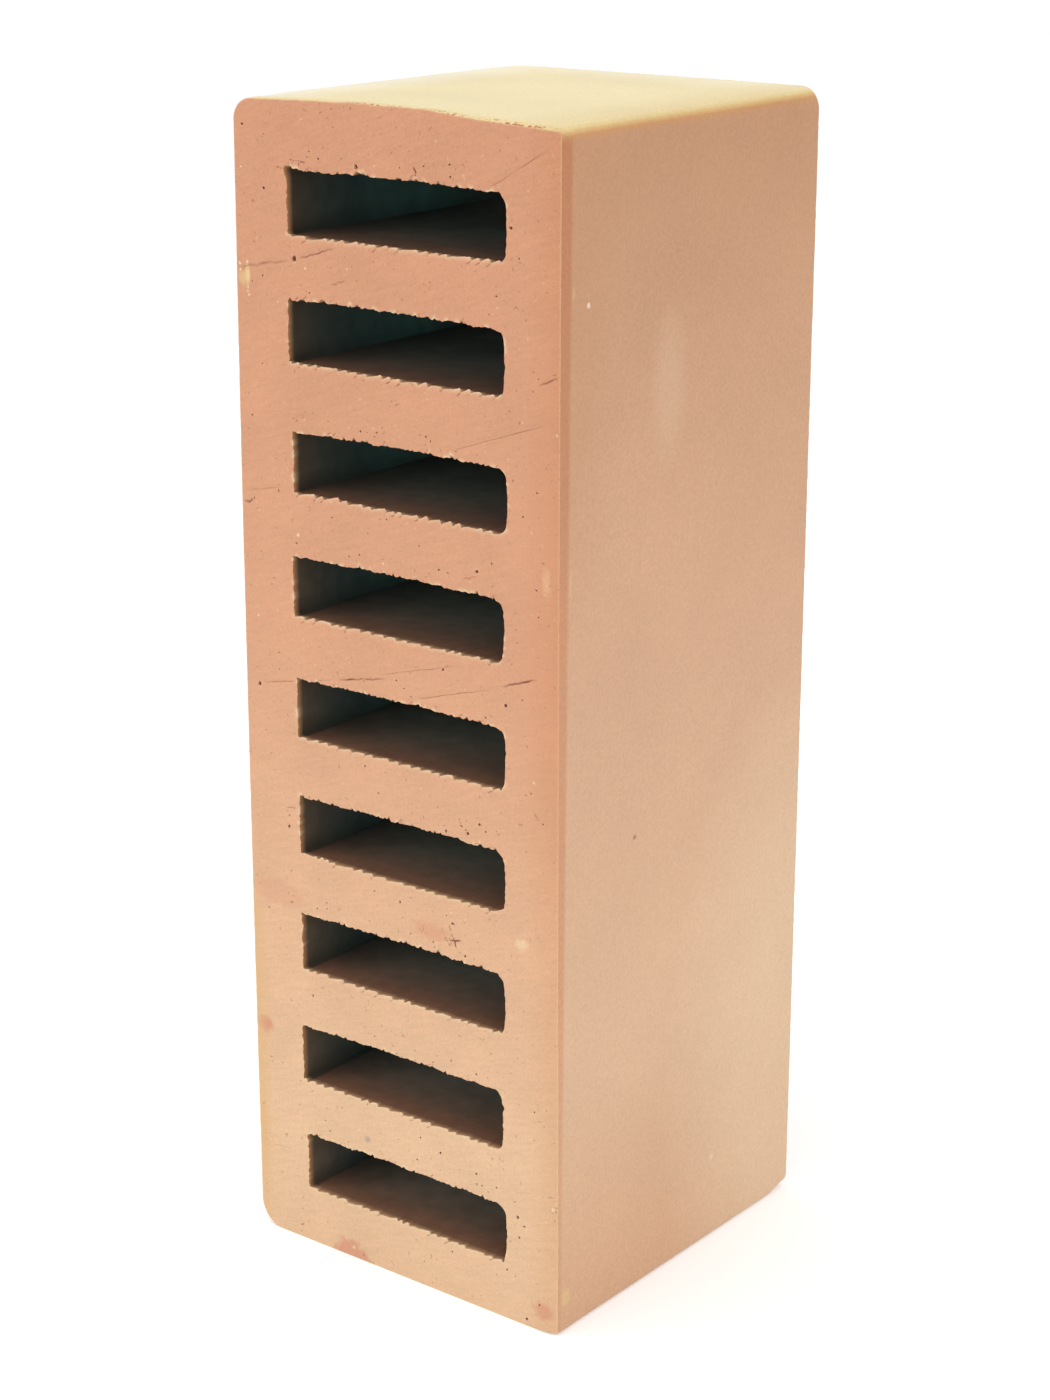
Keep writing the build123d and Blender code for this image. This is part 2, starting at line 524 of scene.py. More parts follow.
def scatter(count, seed, clearance):
    """Seeded places on the bed, kept clear of the slots, a third of them close above a slot."""
    generator = random.Random(seed)
    places = []
    while len(places) < count:
        if generator.random() < 0.35:
            left, right, _, top = generator.choice(SLOTS)
            x = generator.uniform(left, right + 8.0)
            z = top + generator.uniform(0.9, 3.5)
        else:
            x = generator.uniform(-HALF_WIDTH + 2.0, HALF_WIDTH - 2.0)
            z = generator.uniform(2.5, LENGTH - 3.0)
        if not inside_a_slot(x, z, clearance):
            places.append((x, z, generator.uniform(0.14, 0.30)))
    return places


print("placed marks:", len(SCRATCHES), "scratches,", len(PITS), "pits,", len(GRAINS), "grains")

# %% [markdown]
# ## The bed as one triangulated sheet
#
# A bed is a flat sheet with nine ragged holes. Cutting holes with booleans would be slow and
# leave poor triangles. Here every point that matters is collected first: the outline,
# the rims, two rings that shape each lip, the marks, and a loose filling. Then
# Blender's constrained triangulation joins them, and drops what lies in a hole.

# %% Points of a bed, with pits, grains and grooves
SCRATCH_STEP = 0.7
CRACK_STEP = 0.3
MARK_CLEARANCE = 0.4
# Each ring of a spot has its sides, its reach in radii, and its shares of the depth and of the pale rim.
SPOT_RINGS = [(5, 0.5, 1.0, 0.0), (7, 1.0, 0.0, 1.0), (8, 1.6, 0.0, 0.0)]


class Sheet:
    """Points of one bed, each with its height and its finish: mark, grain, and pale rim with its painted highlight,
    from 0 to 1.
    """

    def __init__(self):
        self.flat = []
        self.height = []
        self.finish = []

    def add(self, x, z, height, mark=0.0, grain=0.0, burr_and_highlight=0.0):
        self.flat.append((x, z))
        self.height.append(height)
        self.finish.append((mark, grain, burr_and_highlight))
        return len(self.flat) - 1


def add_spot(sheet, x, z, radius, cut, at_front, mark, grain):
    """A pit or a grain: a centre, an inner ring that is as deep, a ragged rim and a clean ring round it."""
    level = bed_height(x, z, at_front)
    sheet.add(x, z, level - cut, mark, grain)
    for sides, reach, share, rim in SPOT_RINGS:
        for side in range(sides):
            angle = 2 * math.pi * side / sides + x
            uneven = radius * reach * (1.0 + 0.5 * lumps(x + 3.0 * angle, z, 0.0, 0.8))
            pale = 0.4 * mark * rim * (side % 3 == 0)
            sheet.add(x + uneven * math.cos(angle), z + uneven * math.sin(angle),
                      level - cut * share * 0.85, mark * share, grain * share + pale)


def add_groove(sheet, start, end, half_width, cut, darkness, step_length, clearance, at_front):
    """A groove: a dark middle line between two edges at the bed's level."""
    along = Vector((end[0] - start[0], end[1] - start[1]))
    across = Vector((-along.y, along.x)).normalized() * half_width
    steps = max(2, round(along.length / step_length))
    for step in range(steps + 1):
        share = step / steps
        x = start[0] + along.x * share + across.x * lumps(start[0], end[1], share * 9.0, 1.0)
        z = start[1] + along.y * share + across.y * lumps(start[0], end[1], share * 9.0, 1.0)
        if inside_a_slot(x, z, clearance) or abs(x) > HALF_WIDTH - 0.8:
            continue
        fade = min(1.0, 4.0 * share, 4.0 * (1.0 - share)) * (0.65 + 0.5 * lumps(x, 5.0, z, 2.5))
        level = bed_height(x, z, at_front)
        sheet.add(x, z, level - cut * fade, mark=fade * darkness)
        for side in (-1, 1):
            sheet.add(x + side * across.x, z + side * across.y, level + 0.02)


print("points of one spot:", 1 + sum(sides for sides, *_ in SPOT_RINGS))

# %% [markdown]
# One notch in three of a lower rim runs on into the clay as a hair crack, down and to the
# left, under the scale that the wire laid over it. The upper rims have short nicks the other way.
# Both are a quarter of a millimetre wide, so they are drawn as grooves of the sheet.

# %% Cracks and nicks along the rims
CRACK_LEAN = math.radians(215)
NICK_LEAN = math.radians(42)
RIM_NICKS = 7
CRACKED_SHARE = 0.35
CRACK_HALF_WIDTH = 0.13
CRACK_DEPTH = 0.2
CRACK_DARKNESS = 0.8
# A crack starts in the rim itself, so it may lie in the slot's own rectangle.
CRACK_CLEARANCE = -2.0


def add_rim_cracks(sheet, clean, rim, seed, at_front):
    """A crack from a third of the lower rim's notches, and seeded nicks from the upper rim."""
    generator = random.Random(int(seed))
    starts = []
    for here in range(len(clean) - 1):
        x, _, _, out_z = clean[here]
        ends = scale_phase(clean[here + 1][0], seed) < scale_phase(x, seed) - 0.5
        if out_z < -0.9 and clean[here + 1][3] < -0.9 and ends:
            if generator.random() < CRACKED_SHARE:
                starts.append((rim[here + 1], CRACK_LEAN, generator.uniform(0.4, 1.6)))
    upper = [place for place, point in zip(rim, clean) if point[3] > 0.9]
    for _ in range(RIM_NICKS):
        starts.append((generator.choice(upper), NICK_LEAN, generator.uniform(0.3, 1.3)))
    for (x, z), lean, length in starts:
        way_x, way_z = math.cos(lean), math.sin(lean)
        start = (x + way_x * 0.15, z + way_z * 0.15)
        end = (x + way_x * (length + 0.15), z + way_z * (length + 0.15))
        add_groove(sheet, start, end, CRACK_HALF_WIDTH, CRACK_DEPTH, CRACK_DARKNESS, CRACK_STEP,
                   CRACK_CLEARANCE, at_front)


notches = sum(scale_phase(x + RIM_STEP, 0.0) < scale_phase(x, 0.0) - 0.5 for x, _, _, z in slot_loop(0) if z < -0.9)
print("notches in the lowest slot's lower rim:", notches)

# %% [markdown]
# The filling between the marks only has to keep the triangles even, so it is a grid of points
# shaken by a seeded generator, left out wherever another point is near.

# %% Collect each bed and triangulate it
FILL_SPACING = 2.4
FILL_SHAKE = 0.6
FILL_GAP = 0.9
FILL_CLEARANCE = 1.6
EDGE_WEAR = 0.07
EDGE_WIDTH = 0.35
ARRIS_PALENESS = 0.25
# The two rings behind a rim: distance, every how many points, and share of the rim's height.
RIM_RINGS = [(0.34, 1, 0.75), (0.95, 2, 0.0)]


def collect_bed(at_front):
    """All the points of one bed, with the closed loops of its outline and its slots."""
    sheet = Sheet()
    depth = 0.0 if at_front else DEPTH
    outline = skin_ring(depth)
    loops = [[sheet.add(x, z, -EDGE_WEAR - arris_drop(x, z) * at_front, burr_and_highlight=ARRIS_PALENESS) for x, z in outline]]
    for (x, z), (_, _, out_x, out_z) in zip(outline, outline_at(depth)):
        inner_x, inner_z = x - out_x * EDGE_WIDTH, z - out_z * EDGE_WIDTH
        sheet.add(inner_x, inner_z, bed_height(inner_x, inner_z, at_front) - arris_drop(inner_x, inner_z) * at_front)
    for number in range(len(SLOTS)):
        seed = slot_seed(number, at_front)
        clean = slot_loop(number)
        rim = slot_ring(number, depth)
        indices = []
        for loop_point, (x, z) in zip(clean, rim):
            indices.append(sheet.add(x, z, rim_height(loop_point, seed), burr_and_highlight=rim_paleness_and_highlight(loop_point, seed)))
        loops.append(indices)
        for reach, every, share in RIM_RINGS:
            for loop_point, (x, z) in list(zip(clean, rim))[::every]:
                out_x, out_z = loop_point[2], loop_point[3]
                height = rim_height(loop_point, seed) * share
                sheet.add(x + out_x * reach, z + out_z * reach, height + bed_height(x, z, at_front),
                          burr_and_highlight=0.5 * share * rim_paleness_and_highlight(loop_point, seed))
        add_rim_cracks(sheet, clean, rim, seed, at_front)
    if at_front:
        for start, end, half_width, cut, darkness in SCRATCHES:
            add_groove(sheet, start, end, half_width, cut, darkness, SCRATCH_STEP, MARK_CLEARANCE, at_front)
        for x, z, radius, cut in PITS:
            add_spot(sheet, x, z, radius, cut, at_front, 1.0, 0.0)
        for x, z, radius in GRAINS:
            add_spot(sheet, x, z, radius, -0.05, at_front, 0.0, 0.8)
    for x, z, radius in scatter(SCATTERED_PITS, 5 if at_front else 6, PIT_CLEARANCE):
        add_spot(sheet, x, z, radius, radius, at_front, 0.9, 0.0)
    for x, z, radius in scatter(SCATTERED_GRAINS, 7 if at_front else 8, GRAIN_CLEARANCE):
        add_spot(sheet, x, z, radius, 0.0, at_front, 0.0, 0.5)
    fill_bed(sheet, at_front)
    return sheet, loops


def fill_bed(sheet, at_front):
    """A loose, seeded filling between the marks, so that the sheet has even triangles."""
    taken = kdtree.KDTree(len(sheet.flat))
    for index, (x, z) in enumerate(sheet.flat):
        taken.insert((x, z, 0.0), index)
    taken.balance()
    generator = random.Random(3)
    z = FILL_SPACING
    while z < LENGTH - 1.0:
        x = -HALF_WIDTH + FILL_SPACING
        while x < HALF_WIDTH - 1.0:
            px = x + generator.uniform(-FILL_SHAKE, FILL_SHAKE)
            pz = z + generator.uniform(-FILL_SHAKE, FILL_SHAKE)
            if not inside_a_slot(px, pz, FILL_CLEARANCE) and taken.find((px, pz, 0.0))[2] > FILL_GAP:
                sheet.add(px, pz, bed_height(px, pz, at_front))
            x += FILL_SPACING
        z += FILL_SPACING


def triangulate(sheet, loops):
    """Triangles between the outline and the slots, as indices into the sheet's own points."""
    flat = [Vector(point) for point in sheet.flat]
    _, _, triangles, came_from, _, in_loops = delaunay_2d_cdt(flat, [], loops, 1, 1e-5)
    kept = []
    for triangle, owners in zip(triangles, in_loops):
        if list(owners) == [0] and all(came_from[corner] for corner in triangle):
            kept.append(tuple(came_from[corner][0] for corner in triangle))
    return kept


front_sheet, front_loops = collect_bed(True)
back_sheet, back_loops = collect_bed(False)
front_triangles = triangulate(front_sheet, front_loops)
back_triangles = triangulate(back_sheet, back_loops)
print("front bed:", len(front_sheet.flat), "points,", len(front_triangles), "triangles")
print("back bed:", len(back_sheet.flat), "points,", len(back_triangles), "triangles")

# %% [markdown]
# ## Sew the brick together
#
# The skin and each slot's wall are tubes of rings from one bed to the other, and their first
# and last rings are the beds' own loops, so the whole brick is one closed sheet. The material
# of the walls reads how deep in a slot each point is from its place.

# %% Build one closed mesh
SKIN_DEPTHS = [0.5, 1.4, 2.8, 4.5, 6.5, 9.0, 13.0, 19.0, 27.0, 35.0]
WALL_DEPTHS = [0.35, 0.9, 2.2, 7.0, 20.0]
# How pale the wall's first rings are beside the rim's own paleness, by their depth: the painted highlight goes on round
# the rim.
WALL_PALENESS_AND_HIGHLIGHT = {0.35: 0.6, 0.9: 0.15}
ARRIS_DROP_FADE = 1.5
BED_SLOT, SKIN_SLOT, WALL_SLOT = 0, 1, 2


class Clay:
    """The growing mesh: points in millimetres, faces, the finish of each face and of each point."""

    def __init__(self):
        self.points = []
        self.finish = []
        self.faces = []
        self.kinds = []

    def add_point(self, x, y, z, finish=(0.0, 0.0, 0.0)):
        self.points.append((x, y, z))
        self.finish.append(finish)
        return len(self.points) - 1

    def add_face(self, corners, kind):
        self.faces.append(corners)
        self.kinds.append(kind)


def add_bed(clay, sheet, loops, triangles, at_front):
    """One bed into the mesh. It gives back its loops as indices of the mesh."""
    used = {}
    needed = {index for triangle in triangles for index in triangle}
    needed.update(index for loop in loops for index in loop)
    for index in sorted(needed):
        x, z = sheet.flat[index]
        used[index] = clay.add_point(x, bed_plane(at_front, sheet.height[index]), z, sheet.finish[index])
    for a, b, c in triangles:
        order = (a, b, c) if at_front else (a, c, b)
        clay.add_face(tuple(used[index] for index in order), BED_SLOT)
    return [[used[index] for index in loop] for loop in loops]


def add_tube(clay, rings, kind, outward):
    """Quads between one ring and the next, facing out of the clay."""
    for near, far in zip(rings, rings[1:]):
        for here in range(len(near)):
            after = (here + 1) % len(near)
            quad = (near[here], far[here], far[after], near[after])
            clay.add_face(quad if outward else quad[::-1], kind)


def depths_through(depths):
    """Depths from the front bed to the back: the same steps from each end, closest at the beds."""
    return sorted(depths + [DEPTH / 2] + [DEPTH - depth for depth in depths])


clay = Clay()
front = add_bed(clay, front_sheet, front_loops, front_triangles, True)
back = add_bed(clay, back_sheet, back_loops, back_triangles, False)

skin_rings = [front[0]]
for depth in depths_through(SKIN_DEPTHS):
    drop_share = math.exp(-depth / ARRIS_DROP_FADE)
    skin_rings.append([clay.add_point(x, FRONT + depth + arris_drop(x, z) * drop_share, z)
                       for x, z in skin_ring(depth)])
skin_rings.append(back[0])
add_tube(clay, skin_rings, SKIN_SLOT, True)

for number in range(len(SLOTS)):
    wall_rings = [front[number + 1]]
    clean = slot_loop(number)
    for depth in depths_through(WALL_DEPTHS):
        from_mouth = round(min(depth, DEPTH - depth), 3)
        share = WALL_PALENESS_AND_HIGHLIGHT.get(from_mouth, 0.0)
        seed = slot_seed(number, depth < DEPTH / 2)
        wall_rings.append([clay.add_point(x, FRONT + depth, z, (0.0, 0.0, share * rim_paleness_and_highlight(loop_point, seed)))
                           for loop_point, (x, z) in zip(clean, slot_ring(number, depth))])
    wall_rings.append(back[number + 1])
    add_tube(clay, wall_rings, WALL_SLOT, False)

mesh = bpy.data.meshes.new("fired_brick")
mesh.from_pydata([(x * MM, y * MM, z * MM) for x, y, z in clay.points], [], clay.faces)
mesh.validate()
print("points", len(mesh.vertices), "faces", len(mesh.polygons),
      "triangles", sum(len(face.vertices) - 2 for face in mesh.polygons))

# %% [markdown]
# A closed mesh has exactly two faces on every edge. Counting the edges that don't is the
# quickest proof that the rings and the beds were sewn without a gap.

# %% Check the seams and smooth the shading
SHARP_TURN = math.radians(38)

edge_uses = {}
for face in mesh.polygons:
    for key in face.edge_keys:
        edge_uses[key] = edge_uses.get(key, 0) + 1
print("open or doubled edges:", sum(1 for uses in edge_uses.values() if uses != 2))

for name, place in (("mark", 0), ("grain", 1), ("burr_and_highlight", 2)):
    layer = mesh.attributes.new(name, "FLOAT", "POINT")
    layer.data.foreach_set("value", [finish[place] for finish in clay.finish])
mesh.shade_smooth()
mesh.set_sharp_from_angle(angle=SHARP_TURN)

brick = bpy.data.objects.new("fired_brick", mesh)
bpy.context.scene.collection.objects.link(brick)

# %% [markdown]
# ## Finishes
#
# Fired clay is a matt ceramic: no metal, an IOR near 1.5, and a roughness near 0.9, because
# its surface is open and sandy. Colours are written as the sRGB hex values that the eye
# reads, and one function turns them to the linear values that Blender mixes.

# %% Helpers for materials


def colour(hex_value):
    """An sRGB hex colour as linear RGBA."""
    channels = [int(hex_value[start:start + 2], 16) / 255 for start in (1, 3, 5)]
    linear = [c / 12.92 if c <= 0.04045 else ((c + 0.055) / 1.055) ** 2.4 for c in channels]
    return (*linear, 1.0)


def add_node(tree, kind, inputs=None, out=0, **settings):
    """Adds one node and gives back one of its outputs, or all of them where out is None.
    Each input is a plain value, or another node's output to link from."""
    made = tree.nodes.new("ShaderNode" + kind)
    for name, value in settings.items():
        setattr(made, name, value)
    for socket, value in (inputs or {}).items():
        if isinstance(value, bpy.types.NodeSocket):
            tree.links.new(value, made.inputs[socket])
        else:
            made.inputs[socket].default_value = value
    return made.outputs if out is None else made.outputs[out]


def clay_material(name):
    """A matt fired-clay material with its tree, its shader and the place of each point in metres."""
    material = bpy.data.materials.new(name)
    material.use_nodes = True
    tree = material.node_tree
    shader = tree.nodes["Principled BSDF"]
    shader.inputs["IOR"].default_value = 1.5
    shader.inputs["Roughness"].default_value = 0.92
    shader.inputs["Diffuse Roughness"].default_value = 0.4
    shader.inputs["Specular IOR Level"].default_value = 0.25
    place = add_node(tree, "TexCoord", out="Object")
    return material, tree, shader, place


def mottle(tree, place, size, detail, spread):
    """An uneven shade about 1 in patches of size millimetres, lighter and darker by the spread."""
    patches = add_node(tree, "TexNoise", {"Vector": place, "Scale": 1 / (size * MM), "Detail": detail})
    return add_node(tree, "MapRange", {0: patches, 1: 0.3, 2: 0.7, 3: 1.0 - spread, 4: 1.0 + spread})


def banded(tree, tone, along, bands):
    """The tone with each band's colour or tone over it, from none at the band's start to its strength at the end."""
    for start, end, over, strength in bands:
        share = add_node(tree, "MapRange", {0: along, 1: start, 2: end, 4: strength})
        over = colour(over) if isinstance(over, str) else over
        tone = add_node(tree, "Mix", {0: share, 6: tone, 7: over}, data_type="RGBA", out=2)
    return tone


def finish_clay(tree, shader, tone, relief, distance, strength):
    """Gives the shader its colour and its fine relief, whose distance is in metres."""
    bump = add_node(tree, "Bump", {"Height": relief, "Distance": distance, "Strength": strength})
    tree.links.new(tone, shader.inputs["Base Color"])
    tree.links.new(bump, shader.inputs["Normal"])


print("a middle grey in linear values:", [round(c, 3) for c in colour("#808080")])


# %% [markdown]
# ### Stains
#
# Stains have no edge that a mesh could follow. Each is a soft ellipsoid in the clay, whose
# border is broken up by noise a few millimetres across. An image would need unwrapping,
# and this way each stain stays where it was measured on the photograph.

# %% Lay stains over a colour
# Each stain has its middle and half-size in millimetres, its colour, its strength and how soft its border is.
BED_STAINS = [
    ((-38.2, FRONT, 214.6), (0.9, 20.0, 2.6), "#EFD29C", 0.9, 0.5),
    ((-39.4, FRONT, 213.9), (1.8, 20.0, 1.9), "#E4C18F", 0.8, 0.6),
    ((-39.2, FRONT, 49.2), (3.0, 20.0, 2.2), "#D8937A", 0.8, 0.6),
    ((-34.0, FRONT, 81.5), (9.0, 20.0, 3.4), "#DEA284", 0.35, 0.4),
    ((-40.6, FRONT, 25.0), (1.8, 20.0, 8.0), "#E0BC82", 0.45, 0.6),
    ((-14.8, FRONT, -0.2), (5.8, 20.0, 4.6), "#DDA284", 0.85, 0.25),
    ((38.2, FRONT, 4.9), (3.2, 20.0, 2.6), "#DDA286", 0.7, 0.5),
    ((9.0, FRONT, 83.2), (6.5, 20.0, 2.6), "#DDA080", 0.55, 0.6),
    ((32.6, FRONT, 86.3), (2.2, 20.0, 1.5), "#F2D7AC", 0.7, 0.7),
    ((-9.7, FRONT, 30.1), (1.2, 20.0, 1.0), "#B5A596", 0.7, 0.6),
    ((-42.0, FRONT, 34.0), (5.0, 20.0, 70.0), "#E5BC86", 0.55, 0.6),
    ((38.0, FRONT, 155.0), (9.0, 20.0, 70.0), "#DDA481", 0.45, 0.6),
    ((38.6, FRONT, 163.0), (1.4, 20.0, 3.8), "#EBC79C", 0.55, 0.7),
]
SKIN_STAINS = [
    ((HALF_WIDTH, -8.0, 196.0), (20.0, 7.0, 18.0), "#DCBC9C", 0.4, 0.6),
    ((HALF_WIDTH, -40.6, 8.0), (20.0, 1.8, 2.8), "#E4C68C", 0.6, 0.6),
    ((HALF_WIDTH, -39.7, 218.7), (20.0, 0.6, 1.6), "#E8CF96", 0.45, 0.6),
    ((HALF_WIDTH, -40.2, 162.4), (20.0, 0.7, 3.2), "#E0C394", 0.4, 0.6),
    ((HALF_WIDTH, -35.0, 216.1), (20.0, 0.6, 0.7), "#F7EBD2", 0.9, 0.4),
    ((HALF_WIDTH, -18.0, 104.0), (20.0, 0.8, 0.7), "#9C6B4E", 0.7, 0.6),
    ((HALF_WIDTH, 12.8, 19.7), (20.0, 0.9, 0.8), "#F2DDBA", 0.9, 0.6),
    ((HALF_WIDTH, -40.0, 225.0), (12.0, 16.0, 80.0), "#C8946E", 0.25, 0.6),
    # Painted light: the stretcher's lower back is painted lighter, making up for the shade near the floor.
    ((HALF_WIDTH, 43.0, 36.0), (20.0, 50.0, 95.0), "#EACBAA", 0.85, 0.6),
]
# Near-white spots along the header's rear edge.
HEADER_NEAR_WHITE_SPOTS = [
    ((-37.5, -39.0, LENGTH), (3.4, 2.0, 5.0), "#FEFCF8", 0.9, 0.5),
    ((-39.0, -18.0, LENGTH), (2.4, 11.0, 5.0), "#FDF9EE", 0.8, 0.5),
]


# A stain of this half-size, in millimetres, or less has its border fully broken up.
BROKEN_BORDER = 6.0


def stained(tree, place, tone, stains):
    """The tone with each stain laid over it. The larger a stain, the less the noise breaks up its border."""
    ragged = add_node(tree, "TexNoise", {"Vector": place, "Scale": 1 / (1.6 * MM), "Detail": 3.0})
    for middle, half_size, hex_value, strength, softness in stains:
        stretch = [1.0 / (size * MM) for size in half_size]
        shift = [-centre / size for centre, size in zip(middle, half_size)]
        away = add_node(tree, "VectorMath", {0: place, 1: stretch, 2: shift}, operation="MULTIPLY_ADD")
        away = add_node(tree, "VectorMath", {0: away}, operation="LENGTH", out="Value")
        roughness = min(1.0, BROKEN_BORDER / sorted(half_size)[1])
        away = add_node(tree, "Math", {0: ragged, 1: roughness, 2: away}, operation="MULTIPLY_ADD")
        border = 1.0 + 0.5 * roughness
        tone = banded(tree, tone, away, [(border, border - softness, hex_value, strength)])
    return tone


print("stains on bed, stretcher and header:", len(BED_STAINS), len(SKIN_STAINS), len(HEADER_NEAR_WHITE_SPOTS))

# %% [markdown]
# ### The wire-cut bed
#
# This is raw red clay with lime in it, so it fires to a pinkish orange. It is torn, not
# skinned: a sandy grain of half a millimetre, fine drag lines along the wire's path, dark
# pits, pale grains, and clean clay lips along the lower rims, almost cream, with a painted
# highlight on the tips of their scales. The foot is painted paler than the head, as light
# from the floor falls there.

# %% Raw clay for the two beds
BED_HEAD = "#D89F7D"
BED_MIDDLE_PAINTED_LIGHT = "#DFA986"
BED_FOOT_PAINTED_LIGHT = "#E9C5A0"
BED_MARGIN = "#FBF4EE"
PIT_BROWN = "#773A2E"
GRAIN_CREAM = "#F2DDB8"
BURR_CREAM_AND_HIGHLIGHT = "#FBE3BA"
WIRE_RISE = math.radians(-18)


def make_bed_clay():
    """Pinkish-orange clay, torn by the wire."""
    material, tree, shader, place = clay_material("wire_cut_raw_clay")
    x, y, z = add_node(tree, "SeparateXYZ", {0: place}, out=None)
    # Painted light: lighter towards the foot, where light from the floor falls.
    tone = banded(tree, colour(BED_HEAD), z, [(0.245, 0.142, BED_MIDDLE_PAINTED_LIGHT, 1.0), (0.142, 0.035, BED_FOOT_PAINTED_LIGHT, 1.0)])
    # Clouds of 20 mm from uneven drying, and sand grains of 0.5 mm.
    cloud = mottle(tree, place, 20.0, 2.0, 0.035)
    sand = mottle(tree, place, 0.5, 3.0, 0.045)
    # Drag lines 5 mm long and 0.7 mm apart, rising the way the wire went.
    drag = add_node(tree, "Mapping", {"Vector": place, "Rotation": (0.0, WIRE_RISE, 0.0),
                                      "Scale": (5.0 * MM, 1.0 * MM, 0.7 * MM)}, vector_type="TEXTURE")
    drag = add_node(tree, "TexNoise", {"Vector": drag, "Scale": 1.0, "Detail": 2.0})
    streak = add_node(tree, "MapRange", {0: drag, 1: 0.3, 2: 0.7, 3: 0.97, 4: 1.03})
    for shade in (cloud, sand, streak):
        tone = add_node(tree, "VectorMath", {0: tone, "Scale": shade}, operation="SCALE")
    tone = stained(tree, place, tone, BED_STAINS)
    # Specks of burnt clay and of lime, half a millimetre across.
    specks = add_node(tree, "TexNoise", {"Vector": place, "Scale": 1 / (0.9 * MM), "Detail": 1.0})
    tone = banded(tree, tone, specks, [(0.71, 0.81, PIT_BROWN, 0.42), (0.275, 0.18, GRAIN_CREAM, 0.36)])
    margin = add_node(tree, "MapRange", {0: x, 1: (HALF_WIDTH - 8.0) * MM, 2: (HALF_WIDTH - 1.0) * MM})
    tone = add_node(tree, "Mix", {0: margin, 6: tone, 7: colour(BED_MARGIN)}, data_type="RGBA",
                    blend_type="MULTIPLY", out=2)
    # The pale torn clay of the rims and arris, with a painted highlight on the scales' tips.
    for name, hex_value in (("burr_and_highlight", BURR_CREAM_AND_HIGHLIGHT), ("grain", GRAIN_CREAM), ("mark", PIT_BROWN)):
        share = add_node(tree, "Attribute", attribute_name=name, out="Fac")
        tone = banded(tree, tone, share, [(0.0, 1.0, hex_value, 1.0)])
    relief = add_node(tree, "Math", {0: sand, 1: streak}, operation="MULTIPLY")
    finish_clay(tree, shader, tone, relief, 0.0012, 0.6)
    return material


bed_clay = make_bed_clay()
print("bed:", bed_clay.name, len(bed_clay.node_tree.nodes), "nodes")

# %% [markdown]
# ### The die skin
#
# The die smears the finest clay over the four sides and closes their grain. The header is
# painted a pale cream, as the light from above makes it look, while the stretchers stay tan
# and are painted lighter towards the foot, where light from the floor falls. Down the rounded
# edge between them the cream turns yellow and then orange within three millimetres: painted
# light that fades as the edge turns away from the top. Beside the front bed the wire pulls
# back a strip of skin, two to three millimetres wide, and the redder clay shows through.

# %% Skinned clay for the four sides
SKIN_HEAD = "#C89A78"
SKIN_MIDDLE_PAINTED_LIGHT = "#D8AE8E"
SKIN_FOOT_PAINTED_LIGHT = "#E2BD9C"
SKIN_BASE = "#D9AF8D"
EDGE_PAINTED_LIGHT_ORANGE = "#CE9A68"
EDGE_PAINTED_LIGHT_YELLOW = "#E2C78C"
HEADER_PAINTED_LIGHT_CREAM = "#F0E1B7"
HEADER_PAINTED_LIGHT_PALE = "#F8F0DA"
HEADER_PAINTED_LIGHT_YELLOW = "#EED9A0"
STRIP_RED = "#F7E3D8"
CRUMB_RED = "#C4805C"
STRAY_CRUMBS = 0.1


